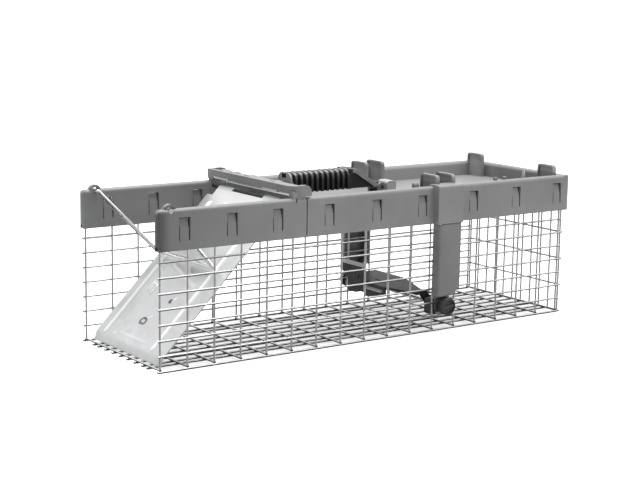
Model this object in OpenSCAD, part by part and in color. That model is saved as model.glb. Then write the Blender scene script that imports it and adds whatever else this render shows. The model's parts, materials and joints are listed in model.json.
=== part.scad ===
// Live catch cage trap with a sloping gravity door, a moulded top and a lifting lever handle.
// X runs along the cage with the door end at -X, Y runs across it, Z is up.
// The origin is under the middle of the wire floor, on the surface that it stands on.

/* [Wire cage] */
// Spacing of the upright wires along the cage
bay = 25.4; // [20:0.1:30]
// Number of bays along the cage
bays = 17; // [12:1:20]
// Width of the cage between its side panels
cage_w = 127; // [110:1:150]
// Thickness of the welded wire
wire_d = 1.8; // [1.4:0.1:2.2]
// How deep each welded crossing sinks in
weld = 0.3; // [0.2:0.05:0.5]
// Height of the tops of the upright wires
wire_top = 125; // [115:1:128]
// How far the long wires stand out at the front
wire_stub = 2.5; // [1:0.5:4]

/* [Moulded rails] */
// Height of the lower edge of the rails
rail_z = 98.7; // [90:0.1:105]
// Height of the top of the rails
rail_top = 132; // [130:0.5:134]
// Thickness of a rail across its channel
rail_t = 7.6; // [7.2:0.1:9]
// Thickness of a rail wall
rail_wall = 1.9; // [1.5:0.1:2]
// Radius along the top edges of a rail
rail_r = 3.6; // [1:0.1:3.7]
// Distance from the first upright to the joint between front frame and rear cover
seam_at = 138; // [130:0.1:150]

/* [Snap windows] */
// Width of a snap window
snap_w = 10.2; // [8:0.1:12]
// Height of a snap window
snap_h = 18.6; // [14:0.1:20]
// Lower edge of the snap windows
snap_z = 106.3; // [104:0.1:108]
// How far the top of a snap tongue leans in
snap_lean = 2.6; // [0:0.1:2.8]

/* [Door] */
// Slope of the closed door, in degrees
door_slope = 45; // [45:1:45]
// Width of the door sheet
door_w = 114.3; // [100:0.1:116]
// Length of the door from its hinge to the bend of its lip
door_l = 167.8; // [160:0.1:168]
// Thickness of the door sheet
door_t = 1; // [0.8:0.1:1.2]
// Length of the bent lip at the foot of the door
lip_l = 7.4; // [5:0.1:7.6]
// Bend of the lip, in degrees
lip_bend = 32; // [20:1:35]
// Diameter of the hinge rod
hinge_d = 3; // [2.5:0.1:3.5]

/* [Lock bar] */
// Diameter of the lock bar
bar_d = 4; // [3.5:0.1:4]
// Length of the lock bar's arms from its pivot to its crossbar
bar_l = 77.3; // [70:0.1:78]
// Height of the lock bar's pivot
bar_z = 130.5; // [130:0.1:131]

/* [Handle] */
// Width of the handle
grip_w = 20; // [16:1:24]
// Underside of the handle
grip_z = 126.1; // [124:0.1:128]
// Top of the handle
grip_top = 143.9; // [140:0.1:146]
// Number of grooves in the grip
grooves = 11; // [8:1:12]
// Spacing of the grooves
groove_pitch = 5.65; // [5:0.05:5.7]
// Depth of the grooves
groove_depth = 2.6; // [0.8:0.1:3]

/* [Treadle] */
// Length of the treadle pan across the cage
pan_l = 101.6; // [90:0.1:102]
// Thickness of the pan's sheet
pan_t = 1.6; // [1.2:0.1:2]
// Diameter of the treadle axle
axle_d = 2.4; // [2:0.1:2.4]
// Diameter of the knob
knob_d = 15.8; // [12:0.1:16]

/* [Hidden] */
$fn = 64;
wire_r = wire_d / 2;
cage_l = bay * bays;
overall_l = cage_l + 12.7;
rail_x0 = -overall_l / 2;
rail_x1 = overall_l / 2;
front_x = rail_x0 + 3.8;
rear_x = front_x + cage_l;
upright_y = cage_w / 2 - 0.1;
line_y = upright_y + wire_d - weld;
floor_z = wire_r;
cross_z = wire_r + wire_d - weld;
rear_upright_x = rear_x + 2.7;
rear_line_x = rear_upright_x + wire_d - weld;
line_end_x = rear_upright_x - wire_r + 0.15;

// The channel of each rail holds the top of the side panel.
rail_in = 60.2;
rail_out = rail_in + rail_t;
slot_in = rail_in + rail_wall;
slot_out = rail_out - rail_wall;
slot_top = rail_top - 2.2;
seam_x = front_x + seam_at;
rear_in_x = rear_x + 0.4;
tray_z = 118.2;
tray_t = 2;

// Right-hand edges of the snap windows, from the first upright.
snap_front = [for (i = [0:2]) 25.4 + i * 44.4];
snap_rear = [for (i = [0:2]) 166.4 + i * 50.4, for (i = [0:2]) 326.4 + i * 51.4];

hinge_x = front_x + 125.4;
hinge_z = 127.1;
hinge_bore = hinge_d + 0.16;
sheet_z = hinge_bore / 2;
curl_r = sheet_z + door_t;

bar_x = front_x + 8.4;
bar_y = 55.5;
bar_near_y = 40;
bar_bore = bar_d + 0.16;

handle_x0 = -57.6;
grip_x0 = handle_x0 + 1.6;
grip_x1 = grip_x0 + grooves * groove_pitch;
handle_pin_x = 44.5;
handle_pin_z = 125.2;

axle_x = front_x + 287.5;
axle_z = 23.9;
axle_bore = axle_d + 0.16;
rod_x = axle_x + 5.5;
rod_y = -69.6;
guard_x = axle_x + 2.45;
guard_w = 26.5;
guard_out = 74.2;
guard_in = 66.1;
guard_z = 33.5;
guard_top = 98.2;
knob_y = 71.6;
knob_t = 6.2;
lug_top = 140.6;

module wire_x(x0, x1, y, z) { translate([x0, y, z]) rotate([0, 90, 0]) cylinder(d = wire_d, h = x1 - x0); }
module wire_y(y0, y1, x, z) { translate([x, y0, z]) rotate([-90, 0, 0]) cylinder(d = wire_d, h = y1 - y0); }
module wire_z(z0, z1, x, y) { translate([x, y, z0]) cylinder(d = wire_d, h = z1 - z0); }
module mirror_copy() { children(); mirror([0, 1, 0]) children(); }

// A straight round rod between two points, with a ball at its far end so that bends are closed.
module rod(a, b, d) {
    v = b - a;
    l = norm(v);
    translate(a) rotate([0, acos(v[2] / l), atan2(v[1], v[0])]) cylinder(d = d, h = l);
    translate(b) sphere(d = d + 0.12);
}

// A rectangle from the origin whose two upper corners are round.
module arch(w, h, r) {
    square([w, h - r]);
    translate([r, h - r - 0.01]) square([w - 2 * r, r + 0.01]);
    translate([r, h - r]) circle(r = r);
    translate([w - r, h - r]) circle(r = r);
}
// A rectangle from the origin with all corners round.
module round_rect(w, h, r) {
    translate([r, 0]) square([w - 2 * r, h]);
    translate([0, r]) square([w, h - 2 * r]);
    for (x = [r, w - r], y = [r, h - r]) translate([x, y]) circle(r = r);
}
module along_x(x0, x1) { translate([x0, 0, 0]) rotate([90, 0, 90]) linear_extrude(x1 - x0) children(); }
module along_y(y0, y1) { translate([0, y1, 0]) rotate([90, 0, 0]) linear_extrude(y1 - y0) children(); }

module side_panel() {
    for (i = [0:bays]) wire_z(cross_z + wire_r - 0.2, wire_top, front_x + i * bay, -upright_y);
    for (k = [1:9]) wire_x(front_x - wire_stub, line_end_x, -line_y, floor_z + k * bay / 2);
}
module side_mesh_near() { color("silver") side_panel(); }
module side_mesh_far() { color("silver") mirror([0, 1, 0]) side_panel(); }

module floor_mesh() {
    color("silver") {
        for (k = [-3:3]) wire_x(front_x - wire_stub, line_end_x, k * bay / 2, floor_z);
        mirror_copy() {
            wire_x(front_x - wire_stub, line_end_x, -64.3, floor_z);
            wire_x(front_x - wire_stub, line_end_x, -46.7, floor_z);
        }
        for (i = [0:bays]) wire_y(-64.6, 64.6, front_x + i * bay, cross_z);
    }
}

module rear_mesh() {
    color("silver") {
        for (k = [-5:5]) wire_z(floor_z, wire_top, rear_upright_x, k * bay / 2);
        for (k = [0:4]) wire_y(-65, 65, rear_line_x, floor_z + k * bay);
    }
}

// One side's rail with its channel, from x0 to x1.
module rail_body(x0, x1) { along_x(x0, x1) translate([-rail_out, rail_z]) arch(rail_t, rail_top - rail_z, rail_r); }
module rail_slot(x0, x1) {
    translate([x0, -slot_out, rail_z - 1]) cube([x1 - x0, slot_out - slot_in, slot_top - rail_z + 1]);
}
module snap_window(x, y) { translate([x - snap_w, y - 1.5, snap_z]) cube([snap_w, 3, snap_h]); }
// The tongue is fixed at its foot and leans into the channel. dir is 1 where inwards is +Y.
module snap_tongue(x, y, dir) {
    top = snap_z + snap_h - 0.9;
    along_x(x - snap_w + 0.9, x - 1.1) translate([y, 0]) scale_y(dir) polygon([
        [0.1, snap_z - 0.5], [0.5, snap_z + 9.6], [snap_lean, top],
        [snap_lean + 1.1, top], [1.65, snap_z + 10], [1.3, snap_z - 0.5]]);
}
module scale_y(dir) {
    if (dir > 0) children();
    else mirror([1, 0]) children();
}

// A low loop over each end of the lock bar.
module lock_pivot_boss() {
    translate([bar_x, -65.4, bar_z]) rotate([-90, 0, 0]) difference() {
        cylinder(r = 5.3, h = 4.6);
        translate([0, 0, -1]) cylinder(r = 3.3, h = 8);
    }
}

// The bridge joins the two rails over the door's hinge: a front bar that turns into an arm on each rail.
bridge_x0 = hinge_x - 2.4;
bridge_x1 = seam_x + 4.6;
bridge_low = 135.6;
bridge_top = 142;
arm_low = 133.2;
arm_top = 142.4;
module bridge_plan(inset, r, far_r) {
    w = rail_out - 0.2 - inset;
    translate([bridge_x0 + inset, -w]) {
        translate([r, 0]) square([40, 2 * w]);
        translate([0, r]) square([40, 2 * w - r - far_r]);
        translate([r, r]) circle(r = r);
        translate([far_r, 2 * w - far_r]) circle(r = far_r);
        translate([far_r, w]) square([40, w]);
    }
}
module bridge_side() {
    translate([bridge_x0 - 1, bridge_low]) square([6, bridge_top - bridge_low]);
    polygon([[bridge_x0 + 4, bridge_low], [bridge_x0 + 4, bridge_top], [bridge_x0 + 10.2, arm_top],
        [bridge_x0 + 10.2, arm_low], [bridge_x0 + 5, arm_low]]);
    translate([bridge_x0 + 10, arm_low]) square([bridge_x1 - bridge_x0 - 16, arm_top - arm_low]);
    translate([bridge_x1 - 6.2, arm_low]) square([6.2, arm_top - arm_low - 6]);
    translate([bridge_x1 - 6, arm_top - 6]) intersection() {
        circle(r = 6);
        translate([-1, -3]) square([8, 10]);
    }
}
// Where the metal hinge clips sit in the front of the bar
clip_far = [31.6, 55.8];
clip_near = [-44.5, -22];
module bridge() {
    difference() {
        intersection() {
            difference() {
                translate([0, 0, 120]) linear_extrude(30) bridge_plan(0, 10, 1.4);
                translate([0, 0, 119]) linear_extrude(32) bridge_plan(3.8, 6.2, 0.8);
            }
            along_y(-rail_out, rail_out) bridge_side();
        }
        for (c = [clip_far, clip_near]) translate([bridge_x0 - 1, c[0], bridge_low - 1]) cube([1.9, c[1] - c[0], 1.9]);
    }
    translate([bridge_x0 + 3, -rail_out + 3, bridge_top - 3.6]) cube([seam_x - bridge_x0 - 3.4, 2 * rail_out - 6, 2.4]);
    // The far end of the bar drops to its rail.
    translate([bridge_x0 + 0.5, 58.4, arm_low + 0.2]) cube([3.2, rail_out - 59.6, 5]);
    mirror_copy() translate([bridge_x0 + 1.2, -rail_out + 1.2, rail_top - 2.4])
        cube([seam_x - bridge_x0 - 1.8, rail_t - 2, 8]);
    for (h = [[52.6, 9], [35.6, 4], [10.4, 12.6], [-29, 11.4]])
        along_x(bridge_x0 + 5.4, bridge_x0 + 13) intersection() {
            translate([h[0], bridge_top + 0.1 - 2 * h[1]]) circle(r = 2 * h[1]);
            translate([h[0] - h[1], bridge_top - 3]) square([2 * h[1], 8]);
        }
}
module hinge_clip(c) {
    color("silver") translate([bridge_x0 - 0.3, c[0] + 0.2, bridge_low - 0.8]) {
        cube([0.9, c[1] - c[0] - 0.4, 1.5]);
        cube([4, c[1] - c[0] - 0.4, 0.8]);
    }
}
module hinge_clip_far() { hinge_clip(clip_far); }
module hinge_clip_near() { hinge_clip(clip_near); }

module front_frame() {
    color("dimgray") {
        difference() {
            union() {
                intersection() {
                    mirror_copy() intersection() {
                        rail_body(rail_x0, seam_x - 0.5);
                        translate([rail_x0, -rail_out, 90]) linear_extrude(50) {
                            translate([3, 0]) square([200, rail_t]);
                            translate([0, 3]) square([4, rail_t - 6]);
                            for (y = [3, rail_t - 3]) translate([3, y]) circle(r = 3);
                        }
                    }
                    along_y(-rail_out - 1, rail_out + 1) {
                        translate([rail_x0, rail_z]) square([40, rail_top - rail_z - 5]);
                        translate([rail_x0 + 5, rail_z]) square([200, rail_top - rail_z]);
                        translate([rail_x0 + 5, rail_top - 5]) circle(r = 5);
                    }
                }
                mirror_copy() lock_pivot_boss();
                bridge();
            }
            mirror_copy() {
                rail_slot(rail_x0 + 1.2, seam_x + 1);
                for (s = snap_front) {
                    snap_window(front_x + s, -rail_out + 1);
                    snap_window(front_x + s, -rail_in - 1);
                }
                translate([bar_x, -70, bar_z]) rotate([-90, 0, 0]) cylinder(d = bar_bore, h = 14);
                translate([rail_x0 - 1, -66.2, rail_z - 1]) cube([3.6, 4, 4.8]);
                translate([seam_x - 11.5, -rail_out - 1, rail_top - 3.4]) rotate([0, 20, 0]) cube([1, 3, 4]);
                translate([hinge_x, -slot_in - 1, hinge_z]) rotate([-90, 0, 0]) cylinder(d = hinge_d + 0.1, h = 6);
            }
        }
        mirror_copy() for (s = snap_front) {
            snap_tongue(front_x + s, -rail_out, 1);
            snap_tongue(front_x + s, -rail_in, -1);
        }
    }
}

// A crosswise lug in the tray, with a rim round its edge. It reaches from y to y + w.
module lug(x, y, w) {
    low = tray_z - 1;
    translate([x, 0, 0]) {
        along_x(0, 2.4) translate([y, low]) arch(w, lug_top - low, 3.2);
        along_x(-1.2, 0.1) difference() {
            translate([y, low]) arch(w, lug_top - low, 3.2);
            translate([y + 1.6, low - 1]) arch(w - 3.2, lug_top - low - 0.6, 2);
        }
    }
}

module trigger_housing() {
    difference() {
        along_x(guard_x - 15.2, guard_x + 13.4) translate([-74.6, rail_z]) arch(20, 34.5, 3);
        translate([guard_x - 20, -rail_in, 90]) cube([40, 30, 60]);
        translate([guard_x - 20, -slot_out, 90]) cube([40, slot_out - slot_in, slot_top - 90]);
        translate([guard_x - 13, -72.6, 90]) cube([24.4, 5.6, 38]);
    }
}

module rear_cover() {
    color("dimgray") {
        difference() {
            union() {
                mirror_copy() {
                    rail_body(seam_x + 0.5, rail_x1 - 8);
                    trigger_housing();
                }
                intersection() {
                    union() {
                        mirror_copy() rail_body(rail_x1 - 30, rail_x1);
                        along_y(-rail_out, rail_out) translate([rear_in_x, rail_z])
                            arch(rail_x1 - rear_in_x, rail_top - rail_z, rail_r);
                    }
                    translate([rail_x1 - 60, -rail_out, 0]) linear_extrude(150) round_rect(60, 2 * rail_out, 4);
                    along_y(-rail_out - 1, rail_out + 1) translate([rail_x1 - 60, 0]) {
                        square([60, rail_top - 5]);
                        square([55, rail_top + 1]);
                        translate([55, rail_top - 5]) circle(r = 5);
                    }
                }
                translate([seam_x + 2, -rail_in - 0.5, tray_z - tray_t]) cube([rear_in_x - seam_x - 1.5, 2 * rail_in + 1, tray_t]);
                translate([seam_x + 2, -rail_in - 0.5, tray_z - 0.5]) cube([2, 2 * rail_in + 1, rail_top - tray_z - 2]);
            }
            mirror_copy() {
                rail_slot(seam_x - 1, rear_line_x + 1.1);
                for (s = snap_rear) snap_window(front_x + s, -rail_out + 1);
            }
            translate([rear_upright_x - 1.1, -slot_out, rail_z - 1])
                cube([rear_line_x - rear_upright_x + 2.2, 2 * slot_out, slot_top - rail_z + 1]);
            translate([107, 20, tray_z - 3]) cube([6.5, 4.5, 5]);
        }
        mirror_copy() {
            for (s = snap_rear) snap_tongue(front_x + s, -rail_out, 1);
            difference() {
                union() {
                    lug(guard_x - 8.3, -63.5, 23);
                    lug(guard_x + 9.9, -63.5, 24.2);
                    lug(rear_x - 6.3, -61.5, 21.5);
                }
                translate([seam_x, -rail_out - 1, tray_z - 3]) cube([cage_l, rail_out - rail_in + 0.6, rail_top - tray_z + 1]);
            }
        }
        // Two posts hold the handle's pin.
        for (s = [-1, 1]) difference() {
            union() {
                translate([handle_pin_x, s * 6.7 - 1.5, handle_pin_z]) rotate([-90, 0, 0]) cylinder(r = 4.2, h = 3);
                translate([handle_pin_x - 4.2, s * 6.7 - 1.5, tray_z - 0.5]) cube([8.4, 3, handle_pin_z - tray_z + 0.5]);
            }
            translate([handle_pin_x, s * 6.7 - 2, handle_pin_z]) rotate([-90, 0, 0]) cylinder(d = hinge_d + 0.1, h = 4);
        }
        // A low rest holds the front of the handle level.
        translate([-47, -5, tray_z - 0.5]) cube([6, 10, grip_z - tray_z + 0.1]);
        // Small bumps stand on the inner edge of the near rail.
        for (b = [[37, 6, 3.4], [132, 3, 2.4], [143.2, 3, 2.4]])
            translate([b[0], -62.6, rail_top - 2]) cube([b[1], 2.6, b[2] + 2]);
        // A short rib stiffens the rear wall beside the near rail.
        translate([rear_in_x - 4, -54, tray_z - 0.5]) cube([4.5, 1.8, rail_top - tray_z - 1.5]);
    }
}

// The guard covers the trigger rod. Its foot is narrower and is cut round the knob.
module guard_outline(inset, low) {
    w = guard_w - 2 * inset;
    translate([guard_x - guard_w / 2 + inset, guard_z + low]) {
        translate([0, 10]) square([w, guard_top - guard_z - 9.9]);
        square([w - 6, 20]);
        translate([w - 6, 10]) circle(r = 6);
    }
}
module trigger_guard() {
    difference() {
        union() {
            intersection() {
                translate([guard_x - guard_w / 2, -guard_out, guard_z]) linear_extrude(guard_top - guard_z)
                    round_rect(guard_w, guard_out - guard_in + 4, 2.4);
                along_y(-guard_out - 1, -guard_in) guard_outline(0, 0);
            }
            along_y(-guard_in - 1, -guard_in) translate([axle_x - 8, 14.5]) round_rect(16, 24, 7);
            translate([guard_x + guard_w / 2 - 2, -guard_in - 1.2, guard_z + 4]) cube([5.6, 1.2, guard_top - guard_z - 4]);
        }
        along_y(-guard_out + 1.6, -50) intersection() {
            guard_outline(1.6, 1.6);
            translate([guard_x - 30, guard_z]) square([60, guard_top - guard_z + 5]);
        }
        translate([guard_x - guard_w / 2 + 1.6, -guard_out + 1.6, guard_top - 5]) cube([guard_w - 3.2, 30, 10]);
        translate([rod_x, rod_y, 20]) cylinder(d = 3.4, h = 20);
        translate([axle_x, -80, axle_z]) rotate([-90, 0, 0]) cylinder(d = axle_bore, h = 20);
        translate([axle_x, -90, axle_z]) rotate([-90, 0, 0]) cylinder(r = knob_d / 2 + 0.6, h = 90 - knob_y + 0.5);
    }
    // A tongue reaches up into the housing.
    translate([guard_x - 9, -guard_out + 1.5, guard_top - 4]) cube([18, 1.4, 3.9]);
    translate([guard_x - 9, -guard_out + 1.9, guard_top - 4]) cube([18, 1, 9]);
}
module trigger_guard_near() { color("gray") trigger_guard(); }
module trigger_guard_far() { color("gray") mirror([0, 1, 0]) trigger_guard(); }

// The door is drawn lying along -X from its hinge and then tipped down to its slope.
module at_door() { translate([hinge_x, 0, hinge_z]) rotate([0, -door_slope, 0]) children(); }

// A pressed channel: ridge below the sheet and groove above it. It runs along X from x0 to x1.
bead_r = 4;
bead_sink = 1.1;
module bead_ridge(x0, x1) {
    intersection() {
        translate([x0, 0, sheet_z + door_t + bead_r - bead_sink]) rotate([0, 90, 0]) cylinder(r = bead_r + door_t, h = x1 - x0);
        translate([x0, -6, sheet_z - 3]) cube([x1 - x0, 12, 3.4]);
    }
}
module bead_groove(x0, x1) {
    translate([x0 + 1, 0, sheet_z + door_t + bead_r - bead_sink]) rotate([0, 90, 0]) cylinder(r = bead_r, h = x1 - x0 - 2);
}
module door() {
    curl_in = 24;
    curl_out = 47;
    color("gainsboro") at_door() difference() {
        union() {
            translate([-door_l, -door_w / 2, sheet_z]) cube([door_l - 10.3, door_w, door_t]);
            translate([-10.4, -curl_out, sheet_z]) cube([8, 2 * curl_out, door_t]);
            mirror_copy() {
                translate([-5, curl_in, sheet_z]) cube([5, curl_out - curl_in, door_t]);
                translate([0, curl_in, 0]) rotate([-90, 0, 0]) cylinder(r = curl_r, h = curl_out - curl_in);
            }
            translate([-door_l, -door_w / 2, sheet_z]) rotate([0, -lip_bend, 0]) translate([-lip_l, 0, 0])
                cube([lip_l, door_w, door_t]);
            translate([-door_l, 0, sheet_z]) intersection() {
                along_y(-door_w / 2, door_w / 2) circle(r = door_t);
                translate([-2, -door_w, 0]) cube([2, 2 * door_w, 2]);
            }
            mirror_copy() translate([0, 39.8, 0]) bead_ridge(-163, -20);
            translate([-159.5, 0, 0]) rotate([0, 0, 90]) bead_ridge(-21, 20);
            translate([-93, 0, 0]) rotate([0, 0, 74]) bead_ridge(-24, 24);
            // Raised tongues pressed out of the sheet, and the stop below the lock bar.
            translate([-135.5, 3.6, sheet_z]) along_x(-1.6, 1.6) translate([-2.2, 0]) arch(4.4, 2.6, 1.4);
            translate([-115.5, -16.5, sheet_z]) along_x(-3, 3) translate([-3.4, 0]) arch(6.8, 2.6, 1.4);
            for (i = [0:2]) translate([-112.5, 22.4 + i * 3.4, sheet_z]) rotate([0, 0, 12]) along_x(-5, 5)
                translate([-0.7, 0]) arch(1.4, door_t + 0.7, 0.6);
            translate([-87, -12, sheet_z]) cube([door_t, 9, 5.5]);
            translate([-87, -12, sheet_z]) cube([4, 2, 3.5]);
        }
        mirror_copy() translate([0, curl_in - 1, 0]) rotate([-90, 0, 0]) cylinder(d = hinge_bore, h = curl_out - curl_in + 2);
        mirror_copy() translate([0, 39.8, 0]) bead_groove(-163, -20);
        translate([-159.5, 0, 0]) rotate([0, 0, 90]) bead_groove(-21, 20);
        translate([-93, 0, 0]) rotate([0, 0, 74]) bead_groove(-24, 24);
        translate([-143.5, 3.8, sheet_z - 1]) intersection() {
            cylinder(r = 3.6, h = 3);
            translate([-1.8, -4, 0]) cube([8, 8, 3]);
        }
        translate([-117.5, -11, sheet_z - 1]) cylinder(d = 2.6, h = 3);
        translate([-19, 32, sheet_z - 1]) cylinder(d = 2.2, h = 3);
        translate([-15, 10, sheet_z - 1]) cube([1.4, 11, 3]);
        translate([-11.5, -2, sheet_z - 1]) cube([2.4, 4.5, 3]);
    }
}

module door_hinge_rod() {
    color("silver") translate([hinge_x, -61.6, hinge_z]) rotate([-90, 0, 0]) cylinder(d = hinge_d, h = 123.2);
}

// The lock bar hangs from the rails and rests square to the closed door.
module lock_bar() {
    dx = bar_l * cos(door_slope);
    dz = bar_l * sin(door_slope);
    near_pivot = [bar_x, -bar_y, bar_z];
    far_pivot = [bar_x, bar_y, bar_z];
    near_foot = [bar_x + dx, -bar_near_y, bar_z - dz];
    far_foot = [bar_x + dx, bar_y - 4, bar_z - dz];
    color("whitesmoke") {
        rod([bar_x, -67.1, bar_z], near_pivot, bar_d);
        rod(near_pivot, near_foot, bar_d);
        rod(near_foot, far_foot, bar_d);
        rod(far_foot, far_pivot, bar_d);
        rod([bar_x, 67.1, bar_z], far_pivot, bar_d);
    }
}

module grip_section() { translate([-grip_w / 2, grip_z]) arch(grip_w, grip_top - grip_z, 6.5); }
module groove_section() {
    translate([-grip_w / 2 + groove_depth, grip_z + 0.6])
        arch(grip_w - 2 * groove_depth, grip_top - grip_z - 1.5, 5.2);
}
// The side view of the handle, whose nose is round below.
module handle_nose(inset) {
    along_y(-grip_w, grip_w) {
        translate([handle_x0 + 7.5, grip_top - 5]) circle(r = 7.5 - inset);
        translate([handle_x0 + inset, grip_top - 5]) square([120, 20]);
        translate([handle_x0 + 7.5, grip_z - 1]) square([120, 30]);
    }
}
module handle_core(x0, extra) {
    translate([x0, -4 - extra, grip_z + 6.4 - extra]) cube([grip_x1 - x0 + 2, 8 + 2 * extra, 5.6 + 2 * extra]);
}
module handle_grip() {
    rib_w = 2.2;
    color("black") difference() {
        intersection() {
            union() {
                along_x(grip_x0 - 2, grip_x1) groove_section();
                for (i = [1:grooves]) along_x(grip_x0 + i * groove_pitch - rib_w, grip_x0 + i * groove_pitch - 0.01)
                    grip_section();
            }
            handle_nose(1.65);
        }
        handle_core(grip_x0 - 1, 0.05);
    }
}
module handle_end_cap() {
    color("darkgray") {
        difference() {
            intersection() {
                along_x(handle_x0 - 1, handle_x0 + 7.4) grip_section();
                handle_nose(0);
            }
            handle_nose(1.6);
            translate([handle_x0 - 1, -2.4, grip_top - 4.7]) cube([2, 6, 3.4]);
        }
        translate([handle_x0 + 1, -3.9, grip_z + 6.5]) cube([6, 7.8, 5.4]);
    }
}
// Behind the grip the handle thins to a web under a sloping flange.
ramp_x0 = 13.5;
ramp_x1 = 37;
module handle_side() {
    polygon([[grip_x1 + 0.05, grip_z], [grip_x1 + 0.05, grip_top], [ramp_x0, grip_top], [ramp_x1, grip_z + 3], [ramp_x1, grip_z]]);
}
module handle_lever() {
    color("dimgray") difference() {
        union() {
            handle_core(handle_x0 + 8.6, 0);
            difference() {
                along_y(-grip_w / 2, grip_w / 2) handle_side();
                for (s = [-1, 1]) translate([0, s * (grip_w / 2 + 3.5), 0]) along_y(-5.5, 5.5) difference() {
                    translate([-3, -2.6]) handle_side();
                    translate([-100, grip_z + 14.2]) square([200, 20]);
                    translate([-100, 100]) square([grip_x1 + 102, 60]);
                }
            }
            translate([handle_pin_x, -4.4, handle_pin_z]) rotate([-90, 0, 0]) cylinder(r = 4.5, h = 8.8);
            translate([ramp_x1 - 6, -4.4, grip_z]) cube([handle_pin_x - ramp_x1 + 6, 8.8, 3]);
        }
        translate([handle_pin_x, -6, handle_pin_z]) rotate([-90, 0, 0]) cylinder(d = hinge_d + 0.16, h = 12);
    }
}
module handle_pin() {
    color("silver") translate([handle_pin_x, -8.9, handle_pin_z]) rotate([-90, 0, 0]) cylinder(d = hinge_d, h = 17.8);
}
module rear_tab() { color("white") translate([169.7, -59.8, tray_z + 0.05]) cube([1.8, 2.4, 20.8]); }
module handle_stop_block() {
    color("lightgray") translate([51, 0, tray_z + 0.05]) along_y(-7, 7) arch(10.4, 11.5, 3);
}

// The pan is a folded sheet that rocks on the axle. Its front edge folds down, and part of it stands up.
pan_front = 43;
pan_low = 32;
module pan_side(y) {
    translate([0, y, 0]) along_y(0, pan_t) {
        translate([axle_x, axle_z]) circle(r = 6);
        polygon([[axle_x - 13, 32.9], [axle_x - 5.2, axle_z - 1], [axle_x + 5.2, axle_z - 1], [axle_x - 3.4, 33.2]]);
    }
}
module treadle_pan() {
    color("darkslategray") difference() {
        union() {
            translate([pan_front + 0.2, 0, pan_low]) rotate([0, -1.4, 0]) linear_extrude(pan_t) polygon([
                [9.5, pan_l / 2], [41.5, pan_l / 2], [41, 6.4], [32, -18], [22.8, -41], [22.8, -pan_l / 2],
                [8, -pan_l / 2], [7.7, -44], [0, -15], [0, 36.2]]);
            along_x(pan_front, pan_front + pan_t) {
                polygon([[36.9, 33.1], [36.5, 20.3], [20, 23.7], [13, 23], [11, 20.3], [-17.5, 25.3], [-17.5, 33.1]]);
                polygon([[52, 46.5], [45.5, 37], [38.8, 32.2], [16, 32.2], [16, 46.5]]);
            }
            // The upright part has a sloping lip, and a ledge runs below the fold.
            along_y(16, 52) polygon([[pan_front, 46.3], [pan_front + 3, 49.6], [pan_front + 4.2, 48.5], [pan_front + 1.5, 45.6]]);
            along_y(-14, 10.4) polygon([[pan_front + 0.5, 30.9], [pan_front - 2.2, 29.2], [pan_front - 2.2, 28.2], [pan_front + 0.5, 29.3]]);
            pan_side(pan_l / 2 - pan_t + 0.2);
            pan_side(-pan_l / 2 - 0.2);
        }
        mirror_copy() translate([axle_x, 40, axle_z]) rotate([-90, 0, 0]) cylinder(d = axle_d + 0.06, h = 20);
        translate([pan_front - 1, 22, 36.6]) rotate([0, 90, 0]) cylinder(d = 3.6, h = 4);
        translate([pan_front + 14, 8, 28]) cube([2, 9, 10]);
    }
}
module treadle_axle() {
    color("silver") translate([axle_x, -75, axle_z]) rotate([-90, 0, 0]) cylinder(d = axle_d, h = 150);
}
module pivot_block() {
    difference() {
        along_y(-62.2, -53) translate([axle_x - 8.6, 14.3]) round_rect(16.8, 15, 3);
        translate([axle_x, -64, axle_z]) rotate([-90, 0, 0]) cylinder(d = axle_bore, h = 20);
        translate([axle_x - 6.2, -60.6, 10]) cube([12.4, 5.8, 8.6]);
    }
}
module pivot_block_near() { color("darkslategray") pivot_block(); }
module pivot_block_far() { color("darkslategray") mirror([0, 1, 0]) pivot_block(); }

// The cam turns with the axle and lifts the trigger rod on its peg.
module trigger_cam() {
    color("dimgray") difference() {
        along_y(-71, -69.6) {
            translate([axle_x, axle_z]) circle(r = 5);
            translate([rod_x - 1.6, axle_z]) square([3.2, 4.8]);
            translate([axle_x - 10.5, axle_z - 5]) square([10.5, 10]);
        }
        translate([axle_x, -75, axle_z]) rotate([-90, 0, 0]) cylinder(d = axle_d + 0.06, h = 10);
    }
}
module knob() {
    translate([axle_x, -knob_y, axle_z]) rotate([90, 0, 0]) {
        difference() {
            rotate_extrude() {
                square([knob_d / 2, knob_t - 1.2]);
                square([knob_d / 2 - 1.2, knob_t]);
                translate([knob_d / 2 - 1.2, knob_t - 1.2]) circle(r = 1.2);
            }
            translate([0, 0, knob_t - 1.8]) cylinder(r = knob_d / 2 - 1.6, h = 3);
            translate([0, 0, -1]) cylinder(d = axle_d + 0.06, h = 4.7);
        }
        rotate([0, 0, 8]) translate([-knob_d / 2 + 1, -1.4, knob_t - 2.2]) cube([knob_d - 2, 2.8, 1.7]);
    }
}
module trigger_knob() { color("black") knob(); }
module axle_cap() { color("black") mirror([0, 1, 0]) knob(); }
module trigger_rod() {
    color("silver") translate([rod_x, rod_y, axle_z + 5.4]) cylinder(d = 2.4, h = 96.4);
}

side_mesh_near();
side_mesh_far();
floor_mesh();
rear_mesh();
front_frame();
rear_cover();
trigger_guard_near();
trigger_guard_far();
pivot_block_near();
pivot_block_far();
handle_stop_block();
rear_tab();
hinge_clip_near();
hinge_clip_far();
door_hinge_rod();
handle_pin();
door();
lock_bar();
handle_lever();
handle_grip();
handle_end_cap();
treadle_pan();
treadle_axle();
trigger_cam();
trigger_knob();
axle_cap();
trigger_rod();
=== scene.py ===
"""Looks for the live catch trap: galvanised mesh, grey top, zinc door, black handle and dark treadle."""

import json
import math

import bmesh
import bpy
from mathutils import Matrix, Vector


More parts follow.
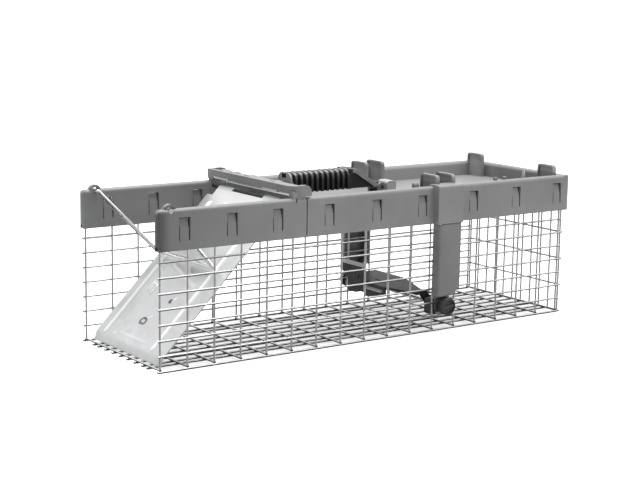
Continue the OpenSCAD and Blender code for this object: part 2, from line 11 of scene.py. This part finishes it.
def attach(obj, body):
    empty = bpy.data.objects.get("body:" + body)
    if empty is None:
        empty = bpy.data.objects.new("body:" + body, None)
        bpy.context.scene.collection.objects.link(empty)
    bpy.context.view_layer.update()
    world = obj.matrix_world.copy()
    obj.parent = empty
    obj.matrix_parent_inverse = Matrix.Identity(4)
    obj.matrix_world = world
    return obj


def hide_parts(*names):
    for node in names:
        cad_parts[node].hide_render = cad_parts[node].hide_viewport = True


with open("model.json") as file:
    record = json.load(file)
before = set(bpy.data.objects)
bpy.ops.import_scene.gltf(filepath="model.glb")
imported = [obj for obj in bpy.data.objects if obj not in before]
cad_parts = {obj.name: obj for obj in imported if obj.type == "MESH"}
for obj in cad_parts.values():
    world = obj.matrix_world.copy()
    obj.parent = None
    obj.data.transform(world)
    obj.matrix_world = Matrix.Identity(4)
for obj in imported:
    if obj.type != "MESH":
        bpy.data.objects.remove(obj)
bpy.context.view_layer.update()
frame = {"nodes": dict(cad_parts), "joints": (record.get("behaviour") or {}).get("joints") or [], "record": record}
NODES = frame["nodes"]
scene = bpy.context.scene


# ---------------------------------------------------------------- node helpers
class Mat:
    """A Principled material with short helpers to wire procedural textures in object space."""

    def __init__(self, name, base, rough, metal=0.0, spec=0.5):
        self.m = bpy.data.materials.new(name)
        self.m.use_nodes = True
        self.t = self.m.node_tree
        self.b = self.t.nodes["Principled BSDF"]
        self.b.inputs["Base Color"].default_value = (*base, 1)
        self.b.inputs["Roughness"].default_value = rough
        self.b.inputs["Metallic"].default_value = metal
        self.b.inputs["Specular IOR Level"].default_value = spec
        self.m.diffuse_color = (*base, 1)
        self.normal = None
        place = self.t.nodes.new("ShaderNodeTexCoord")
        self.co = place.outputs["Object"]
        split = self.t.nodes.new("ShaderNodeSeparateXYZ")
        self.t.links.new(place.outputs["Normal"], split.inputs[0])
        self.facing_up = split.outputs["Z"]

    def node(self, kind, **values):
        n = self.t.nodes.new(kind)
        for k, v in values.items():
            if k in n.inputs:
                n.inputs[k].default_value = v
            else:
                setattr(n, k, v)
        return n

    def link(self, a, b):
        self.t.links.new(a, b)

    def noise(self, scale, detail=3.0, rough=0.5, stretch=None):
        n = self.node("ShaderNodeTexNoise", Scale=scale, Detail=detail, Roughness=rough)
        co = self.co
        if stretch:
            mp = self.node("ShaderNodeMapping")
            mp.inputs["Scale"].default_value = stretch
            self.link(co, mp.inputs["Vector"])
            co = mp.outputs["Vector"]
        self.link(co, n.inputs["Vector"])
        return n.outputs["Fac"]

    def cells(self, scale):
        n = self.node("ShaderNodeTexVoronoi", Scale=scale)
        self.link(self.co, n.inputs["Vector"])
        return n.outputs["Color"]

    def ramp(self, fac, stops):
        n = self.node("ShaderNodeValToRGB")
        self.link(fac, n.inputs["Fac"])
        e = n.color_ramp.elements
        while len(e) > 1:
            e.remove(e[-1])
        for i, (p, c) in enumerate(stops):
            el = e[0] if i == 0 else e.new(p)
            el.position = p
            el.color = (c, c, c, 1) if isinstance(c, (int, float)) else (*c, 1)
        return n.outputs["Color"]

    def unit(self, value, lo, hi):
        """Maps value from lo..hi to 0..1."""
        n = self.node("ShaderNodeMapRange")
        n.inputs["From Min"].default_value = lo
        n.inputs["From Max"].default_value = hi
        self.link(value, n.inputs["Value"])
        return n.outputs["Result"]

    def inside(self, ranges):
        """1 past all of the ranges, each (axis, where it starts, where it is full), in metres."""
        split = self.node("ShaderNodeSeparateXYZ")
        self.link(self.co, split.inputs[0])
        total = 1.0
        for axis, start, full in ranges:
            total = self.mix(1.0, total, self.unit(split.outputs[axis], start, full), "MULTIPLY")
        return total

    def mix(self, fac, a, b, mode="MIX"):
        n = self.node("ShaderNodeMix", data_type="RGBA", blend_type=mode)
        for index, v in ((0, fac), (6, a), (7, b)):
            socket = n.inputs[index]
            if isinstance(v, bpy.types.NodeSocket):
                self.link(v, socket)
            elif isinstance(v, (int, float)):
                socket.default_value = v if index == 0 else (v, v, v, 1)
            else:
                socket.default_value = (*v, 1)
        return n.outputs[2]

    def color(self, socket):
        self.link(socket, self.b.inputs["Base Color"])

    def rough(self, fac, lo, hi):
        n = self.node("ShaderNodeMapRange")
        n.inputs["To Min"].default_value = lo
        n.inputs["To Max"].default_value = hi
        self.link(fac, n.inputs["Value"])
        self.link(n.outputs["Result"], self.b.inputs["Roughness"])

    def bevel(self, radius):
        n = self.node("ShaderNodeBevel", samples=4)
        n.inputs["Radius"].default_value = radius
        self.normal = n.outputs["Normal"]
        self.link(self.normal, self.b.inputs["Normal"])

    def bump(self, fac, strength, distance):
        n = self.node("ShaderNodeBump")
        n.inputs["Strength"].default_value = strength
        n.inputs["Distance"].default_value = distance
        self.link(fac, n.inputs["Height"])
        if self.normal is not None:
            self.link(self.normal, n.inputs["Normal"])
        self.normal = n.outputs["Normal"]
        self.link(self.normal, self.b.inputs["Normal"])


def zinc_wire(name, dark_at, bright_at):
    """Galvanised wire with painted shade: its surface goes from dark to bright as it turns from dark_at to
    bright_at upwards.
    """
    m = Mat(name, (0.6, 0.61, 0.62), 0.34, 1.0)
    tone = m.ramp(m.noise(240, 4, 0.6), [(0.3, (0.64, 0.645, 0.65)), (0.7, (0.86, 0.865, 0.87))])
    dull = m.ramp(m.noise(60, 3, 0.6), [(0.5, 0.0), (0.75, 0.8)])
    # painted shade: the undersides of the wires are painted dark
    under_shade = m.ramp(m.unit(m.facing_up, dark_at, bright_at), [(0.0, 0.96), (1.0, 0.0)])
    m.color(m.mix(under_shade, m.mix(dull, tone, (0.6, 0.6, 0.6)), (0.02, 0.02, 0.02)))
    m.rough(m.noise(500, 3), 0.2, 0.42)
    m.bump(m.noise(1400, 3), 0.25, 0.0002)
    return m.m


def zinc_sheet():
    m = Mat("zinc_sheet", (0.86, 0.865, 0.87), 0.34, 0.55)
    m.bevel(0.0006)
    spangle = m.ramp(m.cells(110), [(0.0, (0.56, 0.565, 0.57)), (1.0, (0.64, 0.645, 0.65))])
    cloud = m.ramp(m.noise(30, 4), [(0.4, 0.0), (0.75, 0.5)])
    sheet = m.mix(cloud, spangle, (0.54, 0.54, 0.545))
    # painted highlight: the crests of the pressed ribs are painted bright, painted light makes the sheet lighter
    # near the hinge, and painted shade darkens the rims of two holes
    crest_and_hinge_light = m.node("ShaderNodeAttribute", attribute_name="crest_and_hinge_light").outputs["Fac"]
    painted_light = m.ramp(crest_and_hinge_light, [(0.15, 0.0), (0.75, 1.0)])
    hole_rim_shade = m.node("ShaderNodeAttribute", attribute_name="hole_rim_shade").outputs["Fac"]
    m.color(m.mix(hole_rim_shade, m.mix(painted_light, sheet, (0.93, 0.93, 0.93)), (0.04, 0.04, 0.04)))
    m.rough(m.noise(140, 4), 0.3, 0.44)
    m.bump(m.noise(22, 2), 0.16, 0.001)
    m.bump(m.noise(900, 2), 0.06, 0.0002)
    return m.m


def plated_steel():
    m = Mat("plated_steel", (0.8, 0.8, 0.8), 0.2, 0.95)
    streak = m.noise(90, 4, 0.6, (1, 1, 8))
    m.color(m.ramp(streak, [(0.3, (0.86, 0.86, 0.865)), (0.7, (0.97, 0.97, 0.975))]))
    m.rough(m.noise(400, 3), 0.14, 0.34)
    m.bump(m.noise(1200, 2), 0.1, 0.0002)
    return m.m


def plastic(name, base, rough, grain=0.12, vary=0.12, spec=0.5, bevel=0.0005, top_light=None, areas=()):
    """Moulded plastic. areas are (ranges, color) pairs: the body takes the color where the ranges hold."""
    m = Mat(name, base, rough, 0.0, spec)
    m.bevel(bevel)
    lo = tuple(c * (1 - vary) for c in base)
    hi = tuple(c * (1 + vary) for c in base)
    body = m.ramp(m.noise(22, 4, 0.55), [(0.3, lo), (0.7, hi)])
    scuff = m.ramp(m.noise(420, 5, 0.7, (1, 3, 1)), [(0.66, 0.0), (0.8, 0.35)])
    body = m.mix(scuff, body, tuple(min(1, c * 1.35 + 0.01) for c in base))
    for ranges, color in areas:
        body = m.mix(m.inside(ranges), body, color)
    if top_light:
        # painted light: faces that look up are painted lighter
        upward = m.ramp(m.unit(m.facing_up, 0.3, 0.95), [(0.0, 0.0), (1.0, 1.0)])
        body = m.mix(upward, body, top_light)
    m.color(body)
    m.rough(m.noise(60, 4), rough - 0.06, rough + 0.1)
    m.bump(m.noise(2600, 2, 0.6), grain, 0.00025)
    return m.m


def dark_sheet(name, top, lip=None):
    """Dark coated sheet with painted light where it looks up. Past lip, an (x, z) pair, its edges get a painted
    highlight.
    """
    m = Mat(name, (0.05, 0.052, 0.055), 0.42, 0.2)
    m.bevel(0.0005)
    wear_and_sheen = m.ramp(m.noise(160, 6, 0.7), [(0.6, 0.0), (0.72, 0.5)])
    body = m.mix(wear_and_sheen, m.ramp(m.noise(40, 4), [(0.3, 0.016), (0.7, 0.03)]), (0.1, 0.1, 0.1))
    # painted light: faces that look up take a lighter grainy tone
    grain = m.ramp(m.noise(300, 4, 0.7, (1, 6, 1)), [(0.3, top * 0.7), (0.7, top * 1.3)])
    body = m.mix(m.ramp(m.unit(m.facing_up, 0.4, 0.95), [(0.0, 0.0), (1.0, 1.0)]), body, grain)
    if lip:
        split = m.node("ShaderNodeSeparateXYZ")
        m.link(m.co, split.inputs[0])
        front = m.ramp(m.unit(split.outputs["X"], lip[0] - 0.0002, lip[0]), [(0.0, 1.0), (1.0, 0.0)])
        above = m.ramp(m.unit(split.outputs["Z"], lip[1], lip[1] + 0.0002), [(0.0, 0.0), (1.0, 1.0)])
        body = m.mix(m.mix(front, above, (1.0, 1.0, 1.0)), body, (0.5, 0.5, 0.5))
    m.color(body)
    m.rough(m.noise(120, 4), 0.34, 0.58)
    m.bump(m.noise(900, 3), 0.12, 0.0003)
    return m.m


# Where the grip's ribs start along X, their pitch, and the share of the pitch before the crest, in metres
GRIP_START, RIB_PITCH, RIB_SHARE = -0.056, 0.00565, 0.6
GRIP_LOW, GRIP_HIGH, GRIP_BAND, GRIP_TOP = 0.128, 0.1425, 0.1415, 0.1428


def grip_rubber():
    """Black rubber with a painted grey sheen on its ribs, stronger towards their tops, and a painted grey top
    band; the grooves stay black.
    """
    m = Mat("grip_rubber", (0.03, 0.03, 0.031), 0.36, 0.0)
    m.bevel(0.0005)
    split = m.node("ShaderNodeSeparateXYZ")
    m.link(m.co, split.inputs[0])
    count = m.node("ShaderNodeMapRange", clamp=False)
    count.inputs["From Min"].default_value = GRIP_START
    count.inputs["From Max"].default_value = GRIP_START + RIB_PITCH
    m.link(split.outputs["X"], count.inputs["Value"])
    part = m.node("ShaderNodeMath", operation="FRACT")
    m.link(count.outputs["Result"], part.inputs[0])
    rib = m.ramp(part.outputs[0], [(RIB_SHARE - 0.04, 0.0), (RIB_SHARE + 0.04, 1.0), (0.97, 1.0), (1.0, 0.4)])
    behind = m.ramp(count.outputs["Result"], [(0.3, 0.0), (0.6, 1.0)])
    height = m.ramp(m.unit(split.outputs["Z"], GRIP_LOW, GRIP_HIGH), [(0.0, 0.08), (0.5, 0.3), (1.0, 1.0)])
    band = m.ramp(m.unit(split.outputs["Z"], GRIP_BAND, GRIP_TOP), [(0.2, 0.0), (1.0, 1.0)])
    grey = m.ramp(m.noise(160, 4, 0.6), [(0.3, (0.055, 0.055, 0.055)), (0.7, (0.1, 0.1, 0.102))])
    # painted sheen: the ribs are painted grey, more towards their tops
    wear_and_sheen = m.mix(1.0, m.mix(rib, (0.0, 0.0, 0.0), behind), height, "MULTIPLY")
    band = m.mix(behind, (0.0, 0.0, 0.0), band)
    m.color(m.mix(band, m.mix(wear_and_sheen, (0.005, 0.005, 0.005), grey), (0.22, 0.22, 0.22)))
    m.rough(m.noise(60, 4), 0.3, 0.46)
    m.bump(m.noise(2600, 2, 0.6), 0.1, 0.00025)
    return m.m


MATERIALS = {
    "zinc_wire": zinc_wire("zinc_wire", -0.8, -0.05),
    "zinc_sheet": zinc_sheet(),
    "plated_steel": plated_steel(),
    "grey_plastic": plastic("grey_plastic", (0.155, 0.157, 0.157), 0.4, top_light=(0.25, 0.25, 0.25)),
    "light_plastic": plastic("light_plastic", (0.36, 0.36, 0.36), 0.44),
    "dark_plastic": plastic("dark_plastic", (0.022, 0.022, 0.023), 0.42, top_light=(0.26, 0.26, 0.26)),
    "black_plastic": plastic("black_plastic", (0.012, 0.012, 0.013), 0.3, 0.06, top_light=(0.24, 0.24, 0.24)),
    "grip_rubber": grip_rubber(),
    "dark_sheet": dark_sheet("dark_sheet", 0.07),
}


def lever_plastic(edge_y, start_x):
    """Black plastic whose outer flange, past edge_y from the middle and behind start_x, is painted light as a
    painted reflection.
    """
    m = Mat("lever_plastic", (0.012, 0.012, 0.013), 0.32)
    m.bevel(0.0005)
    split = m.node("ShaderNodeSeparateXYZ")
    m.link(m.co, split.inputs[0])
    side = m.node("ShaderNodeMath", operation="ABSOLUTE")
    m.link(split.outputs["Y"], side.inputs[0])
    flange = m.ramp(m.unit(side.outputs[0], edge_y, edge_y + 0.0004), [(0.0, 0.0), (1.0, 1.0)])
    behind = m.ramp(m.unit(split.outputs["X"], start_x, start_x + 0.0004), [(0.0, 0.0), (1.0, 1.0)])
    flange = m.mix(behind, (0.0, 0.0, 0.0), flange)
    painted_light = m.ramp(m.noise(140, 5, 0.6), [(0.3, 0.2), (0.7, 0.32)])
    body = m.ramp(m.noise(40, 4), [(0.3, 0.009), (0.7, 0.018)])
    m.color(m.mix(flange, body, painted_light))
    m.rough(m.noise(60, 4), 0.28, 0.44)
    m.bump(m.noise(2600, 2, 0.6), 0.1, 0.00025)
    return m.m


# Painted light makes the cover's far side and lug tops lighter, and painted shade makes the near rail's door end
# darker
FAR_SIDE_LIGHT = ([("Y", 0.02, 0.05)], (0.32, 0.32, 0.32))
SHADED_END = ([("X", -0.13, -0.21), ("Y", 0.0, -0.04)], (0.115, 0.116, 0.116))
SHADED_CORNER = ([("X", -0.2115, -0.2185), ("Y", 0.0, -0.04)], (0.06, 0.06, 0.06))
# painted shade: the square hole in the handle's end cap is painted near black
HOLE_RANGES = [
    ("X", -0.0578, -0.0576),
    ("X", -0.0564, -0.0566),
    ("Y", -0.0027, -0.0025),
    ("Y", 0.0039, 0.0037),
    ("Z", 0.1389, 0.1391),
    ("Z", 0.1429, 0.1427),
]
HOLE_SHADE = (HOLE_RANGES, (0.01, 0.01, 0.01))
# painted light: the lug tops are painted lighter
LIT_LUG_TOPS = ([("Z", 0.1330, 0.1350)], (0.24, 0.24, 0.24))
# the grey plastic, and the painted light on its faces that look up
GREY, TOP_LIGHT = (0.155, 0.157, 0.157), (0.225, 0.225, 0.225)

# Nodes whose look differs from the rest of their slot
OWN = {
    "rear_cover": plastic("cover_plastic", GREY, 0.4, top_light=TOP_LIGHT, areas=[FAR_SIDE_LIGHT, LIT_LUG_TOPS]),
    "front_frame": plastic("frame_plastic", GREY, 0.4, top_light=TOP_LIGHT, areas=[SHADED_END, SHADED_CORNER]),
    # painted shade: the near guard is a darker copy of the grey plastic
    "trigger_guard_near": plastic("guard_plastic", (0.125, 0.126, 0.126), 0.4, top_light=TOP_LIGHT),
    "trigger_knob": plastic("knob_plastic", (0.034, 0.034, 0.035), 0.42),
    "handle_end_cap": plastic("cap_plastic", (0.29, 0.29, 0.29), 0.44, areas=[HOLE_SHADE]),
    "handle_lever": lever_plastic(0.0092, 0.0092),
    "handle_pin": dark_sheet("pin_steel", 0.05),
    # painted shade: the floor wires are painted dark except where they look up, for the shade under and between
    # them
    "floor_mesh": zinc_wire("zinc_wire_floor", 0.12, 0.5),
    "treadle_pan": dark_sheet("pan_sheet", 0.1, (0.0429, 0.0463)),
}
for part in frame["record"]["subparts"]:
    o = NODES[part["node"]]
    for s in o.material_slots:
        s.material = OWN.get(part["node"], MATERIALS[part["material_slot"]])

# ---------------------------------------------------------------- door sheet
JOINT = {j["name"]: j for j in frame["joints"]}
hinge = Vector(JOINT["door_hinge"]["pos_m"])
SLOPE = math.radians(45)
DOWN = Vector((-math.cos(SLOPE), 0, -math.sin(SLOPE)))
OUT = Vector((-math.sin(SLOPE), 0, math.cos(SLOPE)))
MM = 0.001
SHEET_H, SHEET_T = 2.08, 1.0
LIP_AT, LIP_BEND, LIP_R, DOOR_END = 166.4, math.radians(32), 4.0, 174.6
HALF_W, TAB_W, SHOULDER = 57.1, 47.0, 10.6
SHEET_START, ROW_PITCH, FINE_PITCH = 2.6, 1.1, 1.0
KNUCKLE_START, KNUCKLE_IN, KNUCKLE_STEPS, KNUCKLE_STEP = 3.4, 24.0, 19, 17
HOOK_T = 0.9
SHARP_ANGLE = math.radians(40)
# The dished rim starts this far from the middle and falls with the square of the distance past it
RIM_START, RIM_FALL = 49.5, 0.018
# Height of a crest with the full painted highlight, and the painted light at the hinge and how far it reaches, in
# mm
CREST_H, HINGE_LIGHT, HINGE_LIGHT_REACH = 1.2, 0.42, 75.0
# Painted shade on the rim of a hole, and the part of the sheet that has such holes, in mm
RIM_GAIN, RIM_WIDTH, HOLES_FROM, HOLES_TO = 1.8, 0.7, 110, 155
CUT_UNDER, CUT_OVER = -4, 6


def door_profile(s):
    """Distance from the hinge, height and slope of the sheet's middle, at path length s in mm."""
    if s <= LIP_AT:
        return s, SHEET_H, 0.0
    arc = min((s - LIP_AT) / LIP_R, LIP_BEND)
    a = LIP_AT + LIP_R * math.sin(arc)
    h = SHEET_H - LIP_R * (1 - math.cos(arc))
    rest = s - LIP_AT - LIP_R * arc
    return a + rest * math.cos(arc), h - rest * math.sin(arc), arc


def door_point(s, y, lift=0.0):
    a, h, tilt = door_profile(s)
    a, h = a + lift * math.sin(tilt), h + lift * math.cos(tilt)
    return hinge + (DOWN * a + OUT * h + Vector((0, 1, 0)) * y) * MM


def ridge(s, y, p0, p1, half, height):
    """A pressed rib from p0 to p1 with round ends and a smooth section."""
    dx, dy = p1[0] - p0[0], p1[1] - p0[1]
    t = max(0.0, min(1.0, ((s - p0[0]) * dx + (y - p0[1]) * dy) / max(dx * dx + dy * dy, 1e-9)))
    d = math.hypot(s - p0[0] - t * dx, y - p0[1] - t * dy) / half
    return height * 0.5 * (1 + math.cos(math.pi * d)) if d < 1 else 0.0


def door_emboss(s, y):
    h = ridge(s, y, (20, 42.4), (164, 42.4), 3.4, 1.5)
    h += ridge(s, y, (20, -37.8), (163, -37.8), 3.4, 1.4)
    h += ridge(s, y, (160.4, 19.6), (160.4, -20.6), 2.4, 0.42)
    h += ridge(s, y, (163, 27.7), (163, 27.7), 3.2, 0.7)
    h += ridge(s, y, (86, 21.8), (100, -27), 3.2, 0.5)
    for i in range(3):
        h += ridge(s, y, (118.5 - 1.2 * i, 22.6 + 3.6 * i), (109.5 - 1.2 * i, 21.4 + 3.6 * i), 1.5, 1.25)
    h += ridge(s, y, (140.0, -0.6), (137.2, -4.4), 1.5, 0.8)
    h += ridge(s, y, (118.8, -15.6), (114.8, -17.0), 1.8, 0.85)
    h += ridge(s, y, (16.4, 22), (16.4, 11.4), 1.3, 0.5)
    edge = max(0.0, abs(y) - RIM_START)
    return h - RIM_FALL * edge * edge


# Holes in the sheet, in mm: distance from the hinge, place across it, two radii; then sides and
# the half-angle left flat, in degrees
HOLES = (
    (144.2, 2.9, 3.5, 4.0, 22, 50),
    (119.0, -12.4, 1.5, 1.5, 16, 0),
    (19.7, 33.3, 1.1, 1.1, 16, 0),
    (11.6, -0.5, 1.2, 2.2, 16, 0),
    (14.2, 16.5, 0.6, 5.2, 4, 0),
)
SHADED_HOLES = 2


def hole_ring(a, y, ra, ry, sides, flat):
    turn = [math.radians(flat + (360 - 2 * flat) * (k + 0.5) / sides) for k in range(sides)]
    return [(a + ra * math.cos(t), y + ry * math.sin(t)) for t in turn]


def ring_distance(s, y, ring):
    """Distance from a point of the sheet to a hole's outline, in mm."""
    best = math.inf
    for (a0, y0), (a1, y1) in zip(ring, ring[1:] + ring[:1]):
        da, dy = a1 - a0, y1 - y0
        t = max(0.0, min(1.0, ((s - a0) * da + (y - y0) * dy) / (da * da + dy * dy)))
        best = min(best, math.hypot(s - a0 - t * da, y - y0 - t * dy))
    return best


def grid_mesh(name, rows, cols, point):
    verts = [point(r, c) for r in rows for c in cols]
    n = len(cols)
    faces = [
        (i * n + j, i * n + j + 1, (i + 1) * n + j + 1, (i + 1) * n + j)
        for i in range(len(rows) - 1)
        for j in range(n - 1)
    ]
    me = bpy.data.meshes.new(name)
    me.from_pydata([tuple(v) for v in verts], [], faces)
    me.update()
    return me


def steps(a, b, pitch):
    n = max(1, round((b - a) / pitch))
    return [a + (b - a) * i / n for i in range(n + 1)]


def add(name, me):
    """A new piece of zinc sheet."""
    o = bpy.data.objects.new(name, me)
    scene.collection.objects.link(o)
    me.materials.append(MATERIALS["zinc_sheet"])
    return o


def bake(o):
    """Applies the modifiers of o."""
    dg = bpy.context.evaluated_depsgraph_get()
    me = bpy.data.meshes.new_from_object(o.evaluated_get(dg))
    o.modifiers.clear()
    o.data = me


def thicken(o, thick):
    """Gives the flat mesh of o a thickness in mm, half on each side."""
    sol = o.modifiers.new("thickness", "SOLIDIFY")
    sol.thickness = thick * MM
    sol.offset = 0
    bake(o)


def soften(me):
    """Smooth shading, with the sharp edges kept."""
    me.polygons.foreach_set("use_smooth", [True] * len(me.polygons))
    me.set_sharp_from_angle(angle=SHARP_ANGLE)


def mark_relief(me):
    """Stores the painted highlight on each point of the sheet, on its crests and near the hinge, and the painted
    shade on the rims of its holes.
    """
    crest_and_hinge_light = me.attributes.new("crest_and_hinge_light", "FLOAT", "POINT")
    hole_rim_shade = me.attributes.new("hole_rim_shade", "FLOAT", "POINT")
    rings = [hole_ring(*h) for h in HOLES[:SHADED_HOLES]]
    for v in me.vertices:
        at = (v.co - hinge) / MM
        s, y = at.dot(DOWN), at.y
        painted_light = max(0.0, door_emboss(s, y) / CREST_H) + HINGE_LIGHT * max(0.0, 1 - s / HINGE_LIGHT_REACH)
        crest_and_hinge_light.data[v.index].value = min(1.0, painted_light)
        near = min(ring_distance(s, y, r) for r in rings) if HOLES_FROM < s < HOLES_TO else math.inf
        hole_rim_shade.data[v.index].value = max(0.0, min(1.0, RIM_GAIN - near / RIM_WIDTH))


def door_sheet():
    rows = steps(SHEET_START, SHOULDER, FINE_PITCH) + steps(SHOULDER, DOOR_END, ROW_PITCH)[1:]
    cols = steps(-HALF_W, -TAB_W, ROW_PITCH)
    cols += steps(-TAB_W, TAB_W, ROW_PITCH)[1:] + steps(TAB_W, HALF_W, ROW_PITCH)[1:]
    me = grid_mesh("door_sheet", rows, cols, lambda s, y: door_point(s, y, door_emboss(s, y)))
    o = add("door_sheet", me)
    # the corners beside the narrower tab are cut away
    bm = bmesh.new()
    bm.from_mesh(me)
    gone = []
    for f in bm.faces:
        c = f.calc_center_median() - hinge
        if c.dot(DOWN) / MM < SHOULDER and abs(c.y) / MM > TAB_W:
            gone.append(f)
    bmesh.ops.delete(bm, geom=gone, context="FACES")
    bmesh.ops.recalc_face_normals(bm, faces=bm.faces)
    bm.to_mesh(me)
    bm.free()
    thicken(o, SHEET_T)
    cuts = []
    for hole in HOLES:
        me = bpy.data.meshes.new("cut")
        ring = hole_ring(*hole)
        sides = len(ring)
        v = [tuple(door_point(p[0], p[1], z)) for z in (CUT_UNDER, CUT_OVER) for p in ring]
        f = [tuple(range(sides))[::-1], tuple(range(sides, 2 * sides))]
        f += [(k, (k + 1) % sides, sides + (k + 1) % sides, sides + k) for k in range(sides)]
        me.from_pydata(v, [], f)
        c = bpy.data.objects.new("cut", me)
        scene.collection.objects.link(c)
        b = o.modifiers.new("cut", "BOOLEAN")
        b.object, b.operation, b.solver = c, "DIFFERENCE", "EXACT"
        cuts.append(c)
    bake(o)
    for c in cuts:
        bpy.data.objects.remove(c)
    soften(o.data)
    mark_relief(o.data)
    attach(o, "door")
    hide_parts("door")


def strip(name, path, y0, y1, thick):
    """A bent strip: path is (s, height above the sheet's middle) pairs, swept from y0 to y1."""
    me = grid_mesh(name, path, [y0, (y0 + y1) / 2, y1], lambda p, y: door_point(p[0], y, p[1]))
    o = add(name, me)
    thicken(o, thick)
    soften(o.data)
    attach(o, "door")


def door_knuckles():
    """The two curls that wrap the hinge rod."""
    curl = [(KNUCKLE_START, 0.0)]
    for k in range(KNUCKLE_STEPS):
        ang = math.radians(90 - KNUCKLE_STEP * k)
        curl.append((-math.cos(ang) * SHEET_H, math.sin(ang) * SHEET_H - SHEET_H))
    for side, y0, y1 in (("far", KNUCKLE_IN, TAB_W), ("near", -TAB_W, -KNUCKLE_IN)):
        strip("door_knuckle_" + side, curl, y0, y1, SHEET_T)


def door_hook():
    """The punched tongue that is bent up from the sheet."""
    hook = [(91, 0), (89.4, 0.5), (88.2, 1.8), (87.6, 3.2), (87.0, 4.2), (85.8, 4.6), (84.6, 4.4)]
    strip("door_hook", hook, -12, -3, HOOK_T)


door_sheet()
door_knuckles()
door_hook()

# ---------------------------------------------------------------- stage
FLOOR_HALF, FLOOR_DROP, FLOOR_GLOW = 30.0, 0.0002, 0.62


def floor_plane():
    mat = Mat("floor", (0.85, 0.85, 0.85), 0.9, 0.0, 0.1)
    mat.b.inputs["Emission Color"].default_value = (1, 1, 1, 1)
    mat.b.inputs["Emission Strength"].default_value = FLOOR_GLOW
    me = bpy.data.meshes.new("floor")
    h = FLOOR_HALF
    me.from_pydata([(-h, -h, 0), (h, -h, 0), (h, h, 0), (-h, h, 0)], [], [(0, 1, 2, 3)])
    me.materials.append(mat.m)
    o = bpy.data.objects.new("floor", me)
    o.location = (0, 0, -FLOOR_DROP)
    scene.collection.objects.link(o)
    # the trap's metal doesn't mirror the bright floor, so the undersides of its wires stay dark
    o.visible_glossy = False


floor_plane()

world = bpy.data.worlds.new("studio")
scene.world = world
world.use_nodes = True
wt = world.node_tree
bg = wt.nodes["Background"]


def wnode(kind, **values):
    n = wt.nodes.new(kind)
    for k, v in values.items():
        if k in n.inputs:
            n.inputs[k].default_value = v
        else:
            setattr(n, k, v)
    return n


def wmap(value, lo, hi, out_lo, out_hi):
    n = wnode("ShaderNodeMapRange", interpolation_type="SMOOTHSTEP")
    for k, v in (("From Min", lo), ("From Max", hi), ("To Min", out_lo), ("To Max", out_hi)):
        n.inputs[k].default_value = v
    wt.links.new(value, n.inputs["Value"])
    return n.outputs["Result"]


def wmul(a, b):
    n = wnode("ShaderNodeMath", operation="MULTIPLY")
    wt.links.new(a, n.inputs[0])
    wt.links.new(b, n.inputs[1])
    return n.outputs[0]


# a white backdrop behind the trap, a dimmer room in front of it, and darkness below
BACKDROP_SIDE = (0.55, 0.78, 0.3)
ROOM_LIGHT, BACKDROP_LIGHT, UNDER_LIGHT = 0.42, 1.05, 0.04
direction = wnode("ShaderNodeTexCoord").outputs["Generated"]
behind = wnode("ShaderNodeVectorMath", operation="DOT_PRODUCT")
wt.links.new(direction, behind.inputs[0])
behind.inputs[1].default_value = BACKDROP_SIDE
height = wnode("ShaderNodeSeparateXYZ")
wt.links.new(direction, height.inputs[0])
sky = wmap(behind.outputs["Value"], -0.25, 0.55, ROOM_LIGHT, BACKDROP_LIGHT)
ground = wmap(height.outputs["Z"], -0.5, -0.22, UNDER_LIGHT, 1.0)
grey = wmul(sky, ground)
wt.links.new(grey, bg.inputs["Color"])
bg.inputs["Strength"].default_value = 1.0


def area(name, at, to, size, power, size_y=None):
    d = bpy.data.lights.new(name, "AREA")
    d.shape = "RECTANGLE"
    d.size, d.size_y = size, size_y or size
    d.energy = power
    o = bpy.data.objects.new(name, d)
    o.location = at
    o.rotation_mode = "QUATERNION"
    o.rotation_quaternion = (Vector(to) - Vector(at)).to_track_quat("-Z", "Y")
    scene.collection.objects.link(o)


area("key_top", (0.12, 0.1, 1.5), (0, 0, 0.1), 1.6, 34, 0.9)
area("right_fill", (1.2, -1.3, 0.8), (0, 0, 0.08), 1.0, 3)

# ---------------------------------------------------------------- camera
azimuth, elevation, roll = 0.6223, 0.17467, 0.01669
CAMERA_AT = (-0.81197, -1.1064, 0.32071)
cam = bpy.data.cameras.new("camera")
cam.lens, cam.sensor_width = 86.99, 36.0
cam.clip_start, cam.clip_end = 0.05, 50.0
cam_o = bpy.data.objects.new("camera", cam)
scene.collection.objects.link(cam_o)
scene.camera = cam_o
forward = Vector(
    (math.cos(elevation) * math.sin(azimuth), math.cos(elevation) * math.cos(azimuth), -math.sin(elevation))
)
level = Vector((math.cos(azimuth), -math.sin(azimuth), 0))
above = level.cross(forward)
right = level * math.cos(roll) + above * math.sin(roll)
up = above * math.cos(roll) - level * math.sin(roll)
cam_o.matrix_world = Matrix(
    (
        (right.x, up.x, -forward.x, CAMERA_AT[0]),
        (right.y, up.y, -forward.y, CAMERA_AT[1]),
        (right.z, up.z, -forward.z, CAMERA_AT[2]),
        (0, 0, 0, 1),
    )
)
scene.view_settings.view_transform = "Standard"
